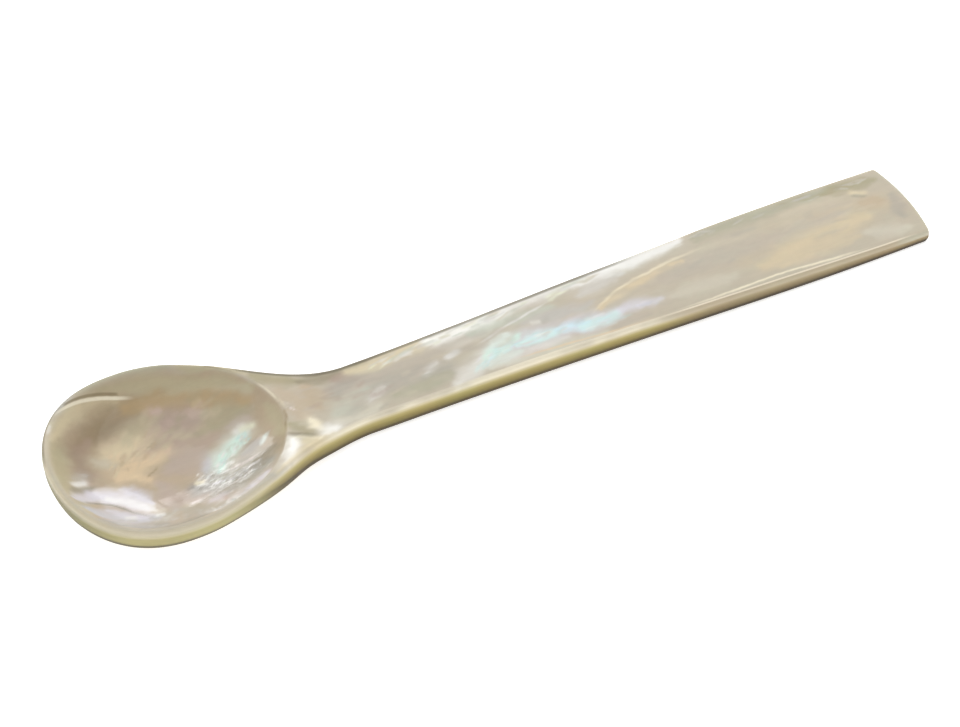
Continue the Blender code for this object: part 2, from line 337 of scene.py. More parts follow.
def patch(x, y, z, from_end, edge, code, walls=()):
    station = np.where(from_end > 90.0, x, LENGTH - from_end)
    low = under_z(station, y, from_end)
    add_grid(x, y, z, edge, 0.0, code)
    add_grid(x[:, ::-1], y[:, ::-1], low[:, ::-1], edge[:, ::-1], 1.0, UNDER)
    for rim, turn in walls:
        t = np.linspace(0.0, 1.0, WALL + 1)[None, :]
        rx, ry, top, bot = (rim(v)[:, None] for v in (x, y, z, low))
        run = np.r_[0.0, np.cumsum(np.hypot(np.diff(rx[:, 0]), np.diff(ry[:, 0])))][:, None]
        ends = smooth(run / 2.5) * smooth((run[-1] - run) / 2.5)       # walls meet edge to edge
        swell = 0.05 * 4.0 * t * (1.0 - t) * ends
        n = np.stack([np.gradient(rim(y)), -np.gradient(rim(x))], -1)
        n = turn * n / np.maximum(np.linalg.norm(n, axis=1, keepdims=True), 1e-9)
        gx, gy, gz = rx + n[:, :1] * swell, ry + n[:, 1:] * swell, top + (bot - top) * t
        t = t + 0.0 * gx
        run = run + 0.0 * gx
        if turn > 0:
            gx, gy, gz, t = gx[:, ::-1], gy[:, ::-1], gz[:, ::-1], t[:, ::-1]
        add_grid(gx, gy, gz, 0.0, t, SIDE, run)


pp, qq = np.meshgrid(np.linspace(-1, 1, M + 1), np.linspace(-1, 1, N + 1), indexing="ij")
patch(*hollow_point(pp, qq), HOLLOW)

bp = np.r_[np.linspace(1, -1, M + 1), -np.ones(N - 1), np.linspace(-1, 1, M + 1)]
bq = np.r_[-np.ones(M + 1), np.linspace(-1, 1, N + 1)[1:-1], np.ones(M + 1)]
bi, lam = np.meshgrid(np.arange(len(bp)), LIPS, indexing="ij")
patch(*lip_point(bp[bi], bq[bi], lam), TOP, [(lambda v: v[:, 0], -1)])

rows = np.r_[np.linspace(0.0, 0.985, ROWS), 0.9885, 0.9915, 0.994, 0.996, 0.9975, 0.9988, 0.9996, 1.0]
cq = np.r_[-np.ones(len(LIPS) - 1), np.linspace(-1, 1, N + 1), np.ones(len(LIPS) - 1)]
cl = np.r_[LIPS[:-1], np.ones(N + 1), LIPS[:-1][::-1]]
sr, ci = np.meshgrid(rows, np.arange(len(cq)), indexing="ij")
patch(*handle_point(sr, cq[ci], cl[ci]), TOP,
      [(lambda v: v[:, 0], 1), (lambda v: v[:, -1], -1), (lambda v: v[-1, :], 1)])

verts, quads = np.concatenate(verts), np.concatenate(quads)
plan, kind = np.concatenate(plan), np.concatenate(kind)
rim_gap, depth_share = np.concatenate(rim_gap), np.concatenate(depth_share)
facing, layout = np.concatenate(facing), np.concatenate(layout)


# ---- the nacre's colours, with painted highlights, reflections and shade among them ---
def lin(rgb):
    c = np.asarray(rgb, float) / 255.0
    return np.where(c <= 0.04045, c / 12.92, ((c + 0.055) / 1.055) ** 2.4)


def flecks(name, path, reach, amount, length, half, colours, strength, lean, seed):
    """Short strokes strewn along a path: how far they stray, how many, their length, half width and colours."""
    out = []
    for k in range(amount):
        r = [float(hash01(k + 1, 7 * j + 3, seed)) for j in range(6)]
        at = r[0] * (len(path) - 1)
        i = min(int(at), len(path) - 2)
        (ax, ay), (bx, by) = path[i], path[i + 1]
        way = math.atan2(by - ay, bx - ax)
        off = (r[1] + r[2] - 1.0) * reach
        cx = ax + (bx - ax) * (at - i) - math.sin(way) * off
        cy = ay + (by - ay) * (at - i) + math.cos(way) * off
        turn, reach_on = way + lean + (r[3] - 0.5) * 0.5, 0.5 * length * (0.5 + r[4])
        dx, dy = math.cos(turn) * reach_on, math.sin(turn) * reach_on
        out.append((name, [(cx - dx, cy - dy), (cx + dx, cy + dy)], half * (0.6 + 0.8 * r[5]), colours[k % len(colours)], strength))
    return out


# The tones: a small set, each used in many places, for the nacre's colours and for its painted highlights and shade.
TONES = {
    "white": (252, 250, 243), "snow": (240, 238, 232), "pearl": (226, 224, 218), "silver": (209, 205, 197), "ash": (195, 191, 183),
    "pewter": (174, 168, 156), "slate": (152, 146, 130), "ivory": (246, 236, 208), "cream": (222, 208, 174), "oat": (206, 196, 174),
    "sand": (204, 188, 156), "straw": (192, 182, 150), "stone": (190, 180, 164), "olive": (168, 158, 126), "moss": (148, 140, 114),
    "gold": (221, 203, 167), "honey": (180, 152, 104), "tan": (190, 167, 136), "brown": (156, 136, 104), "umber": (130, 116, 88),
    "peach": (226, 202, 166), "rose": (188, 171, 159), "mauve": (172, 150, 136), "petal": (196, 172, 156), "blush": (226, 212, 206),
    "lilac": (222, 219, 228), "lavender": (202, 202, 210), "dusk": (162, 159, 152), "teal": (186, 216, 212), "mint": (215, 241, 228),
    "jade": (204, 232, 216), "sage": (196, 200, 184), "ice": (222, 231, 222), "sky": (208, 235, 244), "aqua": (212, 240, 236),
    "lemon": (228, 229, 203), "lichen": (178, 174, 150), "bone": (212, 207, 189),
}

# Each stroke: what it is, plan points in mm, half width in mm, tone, strength.
# The blooms are broad and soft; the rest lie over them with ragged edges.
HOLLOW_BLOOM = [
    ("pale tip wall", [(3.4, 9.2), (2.2, 6.4), (1.7, 3.0), (1.6, -0.6), (1.9, -5.0)], 1.5, "straw", 0.9),
    # painted highlight: a pale glow below the far ledge's lip
    ("pale under the ledge", [(2.6, 7.4), (4.3, 9.8), (6.8, 11.4), (10.0, 12.0), (13.0, 11.7)], 0.8, "cream", 0.85),
    # partly the shell's own brown and mauve, partly painted shade on the far-left wall, which faces away from the
    # lights
    ("brown wall", [(4.7, 2.6), (5.2, 4.4), (6.0, 6.3), (7.5, 8.2), (9.6, 9.6), (12.0, 10.2), (15.0, 10.2)], 1.6, "brown", 0.85),
    ("deep wall", [(8.4, 7.8), (10.6, 8.8), (13.4, 9.4), (16.0, 9.6)], 1.0, "umber", 0.35),
    ("mauve wall", [(4.6, 1.8), (5.0, 3.6), (5.8, 5.6), (7.2, 7.4)], 1.35, "mauve", 0.55),
    ("gold wall", [(13.6, 10.6), (19.0, 9.6), (23.0, 8.4), (27.0, 6.4), (29.0, 4.6)], 1.5, "honey", 0.8),
    ("olive band", [(11.5, 13.0), (15.0, 12.7), (19.0, 11.8), (24.0, 9.7), (28.0, 7.6), (30.0, 5.6)], 0.75, "straw", 0.85),
    ("olive far wall", [(7.4, 12.6), (9.6, 13.1), (12.4, 13.2)], 0.7, "olive", 0.4),
    ("mauve middle", [(17.0, 7.0), (22.4, 6.0)], 1.9, "mauve", 0.85),
    ("tan middle", [(14.6, 4.6), (21.0, 3.6)], 1.1, "mauve", 0.55),
    ("brown middle", [(20.4, 2.4), (24.4, 2.4)], 1.0, "mauve", 0.6),
    ("olive right", [(23.6, 4.4), (28.0, 3.4)], 2.0, "olive", 0.85),
    ("rose middle", [(15.6, 0.4), (20.5, 0.8)], 2.0, "rose", 0.8),
    ("rose low", [(13.0, -1.5), (13.4, -4.5), (12.8, -6.8)], 1.4, "rose", 0.8),
    ("mauve low", [(14.6, -5.4), (18.4, -6.0)], 1.5, "mauve", 0.75),
    ("right wall", [(30.4, 2.6), (30.7, -1.0), (30.2, -3.6)], 0.9, "straw", 0.8),
    ("near wall", [(5.0, -10.0), (12.0, -10.6), (20.0, -10.2), (26.0, -8.4)], 2.6, "stone", 0.75),
    ("near wall olive", [(7.0, -11.8), (12.0, -12.4), (14.6, -12.2)], 1.4, "slate", 0.75),
    ("near wall grey", [(13.6, -7.6), (15.4, -9.6), (14.6, -11.4)], 1.1, "pewter", 0.5),
    ("silver", [(17.0, -4.8), (22.0, -5.4), (26.4, -6.4)], 2.1, "dusk", 0.9),
    ("near left", [(2.8, -8.0), (6.0, -9.2), (10.0, -9.8)], 1.3, "dusk", 0.8),
    # painted reflection of the back light: a pale lilac bed round and under the bowl's real highlight, white at its
    # heart
    ("pale round the shine", [(2.6, -4.4), (5.4, -6.2), (10.0, -7.6)], 1.5, "lavender", 0.85),
    ("shine tail", [(1.5, -2.4), (3.0, -1.6), (5.0, -1.0)], 0.7, "lilac", 0.85),
    ("shine bed", [(4.4, -0.6), (8.0, -2.1), (9.9, -4.9)], 1.4, "lilac", 0.9),
    ("shine right", [(8.4, -0.2), (10.0, -1.7), (10.9, -4.0)], 0.8, "lilac", 0.8),
    ("shine heart", [(6.2, -1.4), (8.3, -2.5), (10.0, -4.9), (10.5, -5.9)], 0.75, "white", 0.5),
    ("near wall pale", [(16.4, -12.3), (20.0, -12.0), (23.2, -10.8)], 0.9, "silver", 0.75),
    ("near wall bright", [(20.2, -10.2), (22.6, -10.9), (24.8, -9.6)], 1.3, "blush", 0.6),
]
IN_HOLLOW = [
    ("yellow green", [(12.2, 7.1), (14.0, 7.8), (15.4, 8.7)], 0.95, "olive", 0.7),
    ("cream gold", [(8.6, 4.9), (11.0, 5.7), (13.8, 6.2)], 1.6, "gold", 0.9),
    ("cream tip", [(7.3, 4.8), (9.0, 3.9)], 0.8, "oat", 0.85),
    ("peach", [(9.0, 1.5), (11.5, 2.5), (13.2, 3.1)], 1.3, "peach", 0.95),
    ("peach tail", [(13.4, 2.2), (15.4, 2.9), (17.0, 3.6)], 0.7, "peach", 0.7),
    ("peach low", [(11.2, 0.9), (12.4, -0.3)], 0.75, "peach", 0.75),
    ("olive seam", [(12.7, 3.2), (14.6, 4.2)], 0.22, "tan", 0.7),
    ("tan seam", [(12.0, 0.1), (13.2, 0.8), (14.5, 1.5)], 0.13, "brown", 0.6),
    ("pink petal", [(16.9, 9.0), (17.7, 8.6)], 0.6, "petal", 1.0),
    ("pink petal right", [(21.3, 7.0), (23.2, 6.3)], 0.6, "petal", 0.7),
    ("mauve over the mint", [(25.0, 2.9), (28.0, 2.6)], 0.8, "rose", 0.65),
    ("lilac glow", [(19.2, -2.6), (20.4, -0.8)], 0.9, "lavender", 0.7),
    ("grey hollow", [(24.2, -3.6), (26.2, -4.1), (28.4, -4.4)], 1.15, "slate", 0.8),
    ("neck edge dark", [(32.0, 1.0), (31.8, -0.6), (31.4, -1.8), (30.5, -4.2)], 0.13, "brown", 0.8),
    ("mint", [(20.7, -2.9), (22.0, -1.4), (23.8, -0.2), (26.4, 1.1)], 1.3, "ice", 0.75),
    ("mint heart", [(22.0, -1.5), (24.0, -0.4), (26.0, 0.6)], 0.7, "mint", 0.85),
    ("white over the mint", [(24.6, 1.3), (26.2, 1.9), (27.6, 2.4)], 0.4, "snow", 0.55),
    ("mint low", [(20.9, -2.7), (21.8, -1.8)], 0.65, "mint", 0.8),
    ("lavender", [(24.6, -2.3), (26.4, -1.9), (27.8, -1.7)], 0.8, "dusk", 0.8),
    ("pink glint", [(25.8, 1.6), (27.2, 1.7), (28.8, 1.2)], 0.48, "lemon", 0.85),
    ("pale glint", [(26.9, -2.6), (28.2, -1.7), (29.2, -0.9)], 0.28, "ice", 0.8),
    ("pink streak", [(17.6, -7.8), (18.9, -9.4)], 0.8, "blush", 0.75),
    ("salmon streak", [(18.9, -7.9), (19.3, -10.3)], 0.34, "petal", 0.75),
    ("aqua streak", [(19.6, -10.8), (18.7, -12.7)], 0.3, "teal", 0.4),
    ("white streak", [(15.6, -10.8), (16.6, -13.0)], 0.8, "pearl", 0.5),
    ("lilac streak", [(21.0, -11.2), (24.6, -9.4)], 0.8, "lilac", 0.7),
    ("lilac patch", [(17.2, -8.3), (20.4, -8.0)], 0.7, "lilac", 0.45),
    # painted reflections of the back light: a dark wedge of painted shade between two shines, a dark line where the
    # groove breaks the reflection, and pale patches below it
    ("grey wedge", [(1.7, -1.0), (3.0, -0.3), (4.5, 0.4), (6.4, 1.0)], 0.46, "slate", 0.7),
    ("small shine bed", [(2.4, 0.35), (3.6, 1.0), (5.0, 1.9)], 0.46, "snow", 0.9),
    ("lilac haze", [(3.4, 2.1), (4.6, 2.9)], 0.6, "ash", 0.55),
    ("groove", [(1.8, -2.9), (3.0, -2.6), (4.6, -2.4), (5.9, -2.7), (6.9, -3.6), (7.9, -5.1), (9.2, -6.5), (10.6, -7.5)], 0.17, "slate", 0.85),
    ("lilac lump", [(5.0, -4.0), (6.6, -5.4), (8.6, -6.8)], 0.75, "lilac", 0.75),
    ("white below", [(6.0, -5.9), (8.2, -6.3)], 0.34, "snow", 0.6),
    ("white below right", [(9.8, -7.0), (11.6, -7.3)], 0.36, "snow", 0.7),
]
IN_HOLLOW += flecks("hollow mottle", [(12.0, 5.6), (17.0, 6.5), (25.0, 5.0)], 4.0, 60, 2.2, 0.34,
                    ["sand", "olive", "petal", "straw"], 0.30, 0.3, 61)
IN_HOLLOW += flecks("gold feathers", [(8.4, 3.0), (11.6, 4.4), (15.4, 5.2)], 2.2, 54, 1.5, 0.15,
                    ["cream", "tan", "peach", "sand", "sand"], 0.4, 0.35, 62)
IN_HOLLOW += flecks("low mottle", [(4.0, -7.0), (12.0, -9.0), (24.0, -8.0)], 3.0, 60, 1.6, 0.26,
                    ["silver", "pewter", "ash", "ash"], 0.35, 0.5, 63)
IN_HOLLOW += flecks("near wall streaks", [(14.6, -11.4), (20.0, -11.2), (25.0, -9.4)], 1.5, 30, 2.2, 0.2,
                    ["white", "ash", "pearl", "blush", "stone", "snow"], 0.5, 1.4, 64)
IN_HOLLOW += flecks("mint flecks", [(20.6, -3.2), (23.0, -1.5), (26.8, 0.7)], 1.25, 48, 1.0, 0.17,
                    ["mint", "snow", "teal", "pearl", "sage"], 0.6, 0.1, 65)
# painted glints on the crinkled ridges and painted shade in the folds between them
IN_HOLLOW += flecks("ridge lights", [(17.4, -3.9), (20.6, -5.1), (24.6, -6.1)], 1.8, 96, 0.9, 0.12,
                    ["white", "snow", "ice", "snow", "lilac"], 0.52, 0.1, 67)
IN_HOLLOW += flecks("ridge darks", [(18.5, -4.2), (22.0, -5.4), (27.0, -6.4)], 2.1, 76, 1.0, 0.11,
                    ["moss", "dusk", "slate"], 0.55, 0.08, 69)
# painted highlight and shade along single ridges: pale on the crests, dark under them
IN_HOLLOW += [
    ("dark ridge", [(19.4, -4.15), (22.6, -4.55), (27.2, -4.1)], 0.17, "moss", 0.8),
    ("pale ridge", [(21.6, -3.55), (24.0, -3.75), (27.2, -3.55)], 0.16, "blush", 0.65),
    ("white ridge", [(16.8, -3.4), (17.6, -3.9), (19.0, -4.0)], 0.3, "ivory", 0.8),
    ("white ridge low", [(14.9, -7.05), (16.9, -6.85)], 0.22, "blush", 0.85),
    ("grey ridge low", [(20.0, -7.4), (25.0, -7.6)], 0.3, "pewter", 0.7),
    ("white ridge right", [(21.6, -7.1), (24.2, -6.9)], 0.26, "pearl", 0.75),
]

FACE_BLOOM = [
    ("far rim", [(8.4, 13.9), (12.0, 14.3), (16.0, 14.2), (21.0, 13.0)], 1.1, "lichen", 0.9),
    ("far rim tip", [(4.0, 11.6), (7.0, 13.4)], 1.0, "ash", 0.9),
    ("far rim neck", [(22.4, 12.2), (26.0, 10.6), (30.0, 8.4)], 1.0, "straw", 0.8),
    ("tip rim", [(3.0, 9.5), (0.4, 3.0), (0.4, -3.0), (2.4, -8.6)], 1.2, "oat", 0.9),
    ("rim glint", [(2.0, 8.0), (3.2, 9.9)], 0.26, "snow", 0.6),
    ("near rim", [(3.0, -10.2), (7.5, -13.4), (14.0, -14.4), (21.0, -12.8), (26.5, -10.4)], 1.2, "ash", 0.9),
    ("green neck", [(30.8, 7.4), (33.0, 5.7), (36.0, 4.6)], 1.2, "olive", 0.85),
    ("brown far neck", [(36.0, 4.5), (40.0, 4.0), (45.0, 4.5)], 0.95, "moss", 0.8),
    ("cream neck", [(33.0, 3.4), (33.8, 0.6), (33.4, -1.8)], 1.7, "tan", 0.5),
    ("tan neck", [(36.6, 3.0), (36.6, -0.6)], 1.7, "tan", 0.6),
    ("grey neck", [(40.6, 3.3), (43.2, 1.8)], 1.3, "mauve", 0.75),
    ("grey body", [(40.0, 1.2), (44.0, 0.2), (50.0, -1.2), (55.0, -1.8)], 2.3, "pewter", 0.8),
    ("mint body", [(38.0, -2.8), (40.8, -1.7), (43.4, 0.0)], 1.3, "sage", 0.6),
    ("yellow far band", [(42.6, 3.6), (48.0, 3.5), (52.0, 3.9), (56.0, 4.2)], 1.1, "cream", 0.75),
    # painted highlight: the back light's reflection along the rolled-off far edge
    ("white far band", [(54.6, 3.9), (58.0, 3.1), (62.0, 3.8), (66.4, 4.2)], 1.45, "white", 1.0),
    ("lemon far band", [(62.0, 4.3), (66.0, 4.5), (72.0, 4.7), (78.0, 4.8)], 0.9, "snow", 0.75),
    ("mauve band", [(45.6, 1.9), (50.0, 1.6), (56.0, 2.0), (61.0, 2.4)], 0.9, "stone", 0.8),
    ("olive body", [(46.5, -3.1), (51.0, -3.2), (55.0, -2.6)], 0.95, "lichen", 0.8),
    ("pale wedge", [(54.6, -4.6), (58.0, -3.2), (61.2, -1.6), (64.4, -0.1)], 1.3, "snow", 0.58),
    ("mint halo", [(62.0, -1.6), (68.0, -1.6), (74.0, -2.2), (80.0, -2.9)], 1.6, "lilac", 0.65),
    ("mint wedge", [(60.0, -2.4), (61.6, -1.8), (63.4, -1.1), (65.4, -0.6)], 1.1, "mint", 0.8),
    ("mint wedge top", [(62.2, -0.5), (64.8, 0.3)], 0.7, "ice", 0.75),
    ("mint lobe", [(65.6, -1.9), (68.6, -2.1), (71.6, -2.2)], 0.85, "aqua", 0.85),
    ("sky lobe", [(70.8, -2.0), (73.4, -2.4), (75.6, -2.7)], 0.85, "sky", 0.8),
    ("aqua lobe", [(74.2, -2.9), (77.2, -3.0), (80.2, -2.9)], 0.75, "aqua", 0.7),
    ("lilac", [(80.4, -2.7), (83.0, -2.6), (86.0, -2.7)], 0.9, "lilac", 0.65),
    ("rose low edge", [(60.0, -4.4), (64.0, -4.5), (68.0, -4.7), (73.0, -4.9), (77.0, -5.0)], 0.6, "bone", 0.8),
    ("blush low band", [(61.0, -3.7), (66.0, -3.9), (71.0, -4.2)], 0.45, "blush", 0.5),
    ("grey far body", [(60.0, 2.4), (66.0, 2.5), (72.0, 2.2)], 1.0, "sage", 0.75),
    ("mauve middle", [(67.5, 0.9), (72.0, 0.7), (77.5, 0.4)], 1.05, "ash", 0.85),
    ("tan low", [(78.0, -4.7), (84.0, -4.7)], 0.5, "stone", 0.7),
    ("gold glow", [(78.4, -1.0), (81.4, 0.2), (84.6, 1.2), (88.0, 1.95), (92.0, 2.4)], 0.7, "gold", 0.75),
    ("warm end", [(100.0, -1.0), (112.0, 0.4), (122.0, 0.6)], 3.2, "sand", 0.45),
    ("lilac above arc", [(76.6, 2.6), (79.6, 3.0), (83.6, 3.6)], 0.9, "silver", 0.75),
    # painted highlight: the back light's reflection along the rolled-off far edge
    ("blown far band", [(76.6, 4.5), (79.6, 4.9), (83.0, 5.0), (86.0, 5.1), (90.0, 5.2), (93.6, 5.6)], 1.05, "snow", 1.0),
    ("mauve long", [(88.0, 0.0), (94.0, 0.7), (100.0, 0.4), (108.0, 0.3), (116.0, 0.9)], 1.5, "stone", 0.8),
    ("lilac low", [(87.6, -2.9), (92.0, -3.2), (97.0, -3.4)], 1.15, "bone", 0.5),
    ("green far edge", [(95.8, 5.3), (100.0, 5.7), (106.0, 5.6), (112.0, 5.7), (118.0, 5.6)], 1.1, "lichen", 0.9),
    ("peach long", [(101.6, -3.6), (106.0, -2.7), (110.5, -1.9), (115.0, -1.3), (119.0, -1.0)], 1.7, "gold", 0.6),
    ("tan near end", [(104.0, -4.5), (110.0, -4.2), (116.4, -4.0)], 0.8, "gold", 0.4),
    ("beige far end", [(108.6, 3.6), (113.0, 4.0), (117.4, 3.6)], 0.9, "oat", 0.5),
    ("pale near end", [(117.6, -3.9), (120.4, -4.8), (122.8, -5.2)], 1.15, "bone", 0.6),
    ("olive far end", [(115.4, 5.3), (119.6, 5.3), (123.4, 5.0)], 1.0, "olive", 0.75),
    ("tan end", [(119.4, 1.6), (122.4, 1.2)], 0.9, "tan", 0.4),
    ("brown end", [(124.0, 1.2), (123.6, -2.8)], 0.9, "pewter", 0.6),
]
ON_FACE = [
    # painted shade on the neck face along the shoulder crease
    ("dark under shoulder", [(31.6, -2.6), (33.0, -4.0), (34.0, -5.3)], 0.75, "olive", 0.85),
    ("neck edge dark", [(32.0, 1.0), (31.8, -0.6), (31.4, -1.8), (30.5, -4.2)], 0.13, "brown", 0.8),
    # painted highlight along the hollow's edge at the neck
    ("neck edge light", [(30.3, 6.7), (31.2, 5.1), (31.85, 3.1), (32.1, 1.4), (32.1, 0.2)], 0.13, "ivory", 0.55),
    # painted dark line standing in for the far edge's dark reflection
    ("far neck edge", [(35.0, 5.6), (39.0, 4.95), (43.0, 4.8), (47.0, 4.85), (52.0, 4.95)], 0.28, "umber", 0.75),
    ("pale near neck", [(38.0, -4.0), (41.0, -4.3), (44.0, -3.9)], 0.8, "bone", 0.8),
    # painted highlights: the back light's glare on the shoulder and beside it
    ("cream patch", [(34.0, -2.6), (34.4, -3.6), (35.1, -4.6)], 0.68, "ivory", 0.9),
    ("white pink patch", [(34.9, -5.8), (36.2, -5.3), (37.3, -5.0)], 0.9, "white", 0.9),
    ("white shoulder", [(30.7, -5.5), (30.0, -7.0), (28.9, -8.4), (27.4, -9.6)], 0.85, "white", 1.0),
    ("shoulder edge", [(26.0, -10.4), (28.6, -9.1), (31.2, -7.8), (33.8, -6.7), (36.0, -6.0)], 0.5, "cream", 0.75),
    ("tan shoulder", [(31.8, -6.5), (33.2, -6.9), (34.4, -6.7)], 0.75, "cream", 0.8),
    # painted shade in the shoulder crease and a painted highlight along its edge
    ("shoulder crease", [(29.6, -3.9), (32.2, -5.0), (34.6, -6.15)], 0.1, "umber", 1.0),
    ("shoulder light", [(30.2, -4.75), (32.6, -5.75), (35.2, -6.75)], 0.15, "ivory", 1.0),
    ("soft glint a", [(43.2, -2.3), (45.6, -1.0)], 0.6, "pearl", 0.75),
    ("soft glint b", [(52.0, -1.2), (53.9, -0.3)], 0.5, "pearl", 0.7),
    ("soft glint c", [(54.8, -0.3), (58.2, 0.6)], 0.42, "pearl", 0.8),
    ("thin seam", [(59.6, 0.2), (62.6, 1.0), (66.0, 2.0), (70.0, 2.8), (73.0, 3.5)], 0.18, "pearl", 0.8),
    ("pale blot", [(67.9, 0.7), (69.8, 0.3)], 0.42, "snow", 0.55),
    ("lilac fringe", [(58.6, -3.4), (62.2, -3.5), (65.4, -3.2)], 0.8, "ice", 0.75),
    ("pink fringe", [(66.6, -3.6), (71.6, -3.9)], 0.5, "pearl", 0.65),
    ("gold arc", [(75.6, -1.9), (78.0, -0.75), (81.0, 0.75), (84.0, 1.75), (87.6, 2.5), (91.0, 2.95), (94.6, 3.15), (98.0, 3.2)], 0.19, "ivory", 0.5),
    ("gold trail", [(93.6, 3.1), (97.0, 2.95), (102.4, 2.6)], 0.55, "oat", 0.5),
    ("cream fleck", [(118.4, 4.3), (121.8, 2.9)], 0.42, "cream", 0.75),
    # painted shadow under the cream fleck
    ("dark under the fleck", [(118.6, 3.5), (121.4, 2.3)], 0.3, "slate", 0.5),
    # painted highlight lines along the near top edge
    ("upper edge line", [(84.0, -5.7), (90.0, -5.8), (96.0, -5.78), (101.0, -5.72), (106.0, -5.8), (110.0, -6.05), (114.0, -6.38), (119.0, -6.55)], 0.15, "ivory", 0.9),
    ("upper edge line left", [(63.0, -4.1), (67.0, -4.45), (73.0, -4.95), (79.0, -5.4), (86.0, -5.75)], 0.14, "peach", 0.65),
]
ON_FACE += flecks("mint flecks", [(58.4, -3.6), (62.0, -1.6), (66.0, -1.8), (72.0, -2.3), (80.6, -3.0)], 1.1, 64, 2.2, 0.15,
                  ["aqua", "snow", "teal", "lilac", "sky", "silver"], 0.28, 0.12, 71)
ON_FACE += flecks("lilac flecks", [(80.6, -2.8), (86.0, -3.2)], 0.7, 12, 1.4, 0.2,
                  ["lilac", "lavender", "lilac"], 0.3, 0.1, 72)
ON_FACE += flecks("far flecks", [(46.0, 3.4), (56.0, 3.8), (68.0, 4.4), (80.0, 4.7)], 0.9, 60, 2.6, 0.2,
                  ["lemon", "oat", "pearl", "silver", "sage"], 0.5, 0.08, 73)
ON_FACE += flecks("body mottle", [(40.0, -1.0), (56.0, -0.6), (76.0, 1.0), (100.0, 0.6), (121.0, 0.6)], 3.6, 110, 3.6, 0.34,
                  ["oat", "pewter", "stone", "stone"], 0.28, 0.1, 75)
ON_FACE += flecks("far end mottle", [(96.0, 5.5), (110.0, 5.7), (122.0, 5.3)], 0.7, 36, 2.4, 0.17,
                  ["olive", "ash", "pewter", "silver"], 0.35, 0.0, 77)
ON_FACE += flecks("neck scratches", [(32.3, 1.2), (33.3, -0.4)], 0.5, 14, 0.9, 0.08,
                  ["blush", "oat", "olive"], 0.7, 0.6, 79)
ON_FACE += flecks("neck mottle", [(33.0, 2.0), (40.0, -0.6), (46.0, -1.0)], 2.8, 36, 2.4, 0.3,
                  ["stone", "mauve", "stone"], 0.32, 0.4, 81)

UNDERNEATH = [
    ("belly cream", [(8.0, 2.0), (18.0, 1.0)], 6.0, "oat", 0.7),
    ("belly mint", [(10.0, -5.0), (20.0, -3.5)], 2.2, "silver", 0.6),
    ("belly rose", [(12.0, 6.5), (22.0, 4.0)], 2.4, "oat", 0.6),
    ("neck grey", [(32.0, 1.0), (46.0, 0.0)], 2.6, "stone", 0.6),
    ("long cream", [(52.0, 1.6), (70.0, 0.4), (90.0, 1.8)], 1.5, "cream", 0.7),
    ("long aqua", [(62.0, -2.2), (80.0, -2.6)], 0.9, "jade", 0.6),
    ("long peach", [(92.0, -2.2), (112.0, -1.0)], 1.6, "gold", 0.7),
    ("heel mauve", [(106.0, 3.2), (122.0, 2.0)], 1.4, "stone", 0.6),
]
UNDERNEATH += flecks("under mottle", [(4.0, 0.0), (30.0, 0.0), (70.0, 0.0), (122.0, 0.0)], 6.0, 150, 4.0, 0.5,
                     ["silver", "rose", "oat", "silver"], 0.35, 0.1, 83)

# Ground side wall, from its top edge to its foot: light at the top edge and dark at the foot as painted shading over
# the wall's olive tone.
BOWL_WALL = [(0.0, (206, 198, 174)), (0.45, (200, 191, 160)), (0.8, (188, 178, 136)), (1.0, (176, 167, 118))]
HANDLE_WALL = [(0.0, (220, 208, 174)), (0.15, (206, 193, 150)), (0.32, (182, 168, 110)), (0.5, (162, 148, 89)),
               (0.67, (144, 130, 76)), (0.84, (121, 108, 62)), (1.0, (74, 62, 34))]
END_WALL = [(0.0, (198, 182, 150)), (0.15, (172, 155, 121)), (0.5, (144, 127, 94)), (0.8, (116, 100, 68)), (1.0, (56, 45, 26))]
# painted shade where the back turns under, on the bowl and on the handle
BOWL_TURN_SHADE, HANDLE_TURN_SHADE = (76, 68, 42), (76, 63, 38)


def paint(base, blooms, strokes, x, y, seed):
    """Lays soft blooms, then ragged strokes, over a base colour, in order."""
    out = np.tile(lin(base), (len(x), 1))
    wx = 0.75 * fbm(x * 0.32, y * 0.45, seed, 3) + 0.22 * fbm(x * 1.5, y * 1.9, seed + 5, 2)
    wy = 0.55 * fbm(x * 0.28, y * 0.50, seed + 9, 3) + 0.18 * fbm(x * 1.3, y * 2.1, seed + 14, 2)
    grit = 0.6 * fbm(x * 0.55, y * 1.5, seed + 21, 4)
    for ragged, batch in ((0.3, blooms), (1.0, strokes)):
        for _, points, half, shade, strength in batch:
            p, far = np.array(points), 2.0 * half + 1.2
            near = np.flatnonzero((x > p[:, 0].min() - far) & (x < p[:, 0].max() + far)
                                  & (y > p[:, 1].min() - far) & (y < p[:, 1].max() + far))
            loose = min(1.0, 0.25 + half / 0.9)         # thin lines stay where they are drawn
            d, share = line_distance(x[near] + wx[near] * loose, y[near] + wy[near] * loose, points)
            slim = half if len(points) == 1 else half * (1.0 - 0.5 * smooth(np.abs(share - 0.5) / 0.25 - 1.0))
            core = smooth((1.06 - 0.56 * d / slim) * (1.0 + ragged * min(1.0, 0.4 + half) * grit[near]))
            a = strength * (core + 0.4 * ragged * (half > 0.3) * (smooth(1.0 - d / (2.4 * half)) - core))
            if half < 0.5 and len(points) > 1:   # thin lines fade out at both ends
                a = a * smooth(share / 0.3) * smooth((1.0 - share) / 0.3)
            out[near] += a[:, None] * (lin(TONES[shade]) - out[near])
    return out


def wall_paint(depth, along):
    def ramp(stops):
        at, tones = np.array([s for s, _ in stops]), np.array([lin(c) for _, c in stops])
        return np.stack([np.interp(depth, at, tones[:, k]) for k in range(3)], -1)
    bowl, handle, end = ramp(BOWL_WALL), ramp(HANDLE_WALL), ramp(END_WALL)
    handle = handle + smooth((along - 80.0) / 14.0)[:, None] * (end - handle)
    return bowl + smooth((along - 16.0) / 14.0)[:, None] * (handle - bowl)


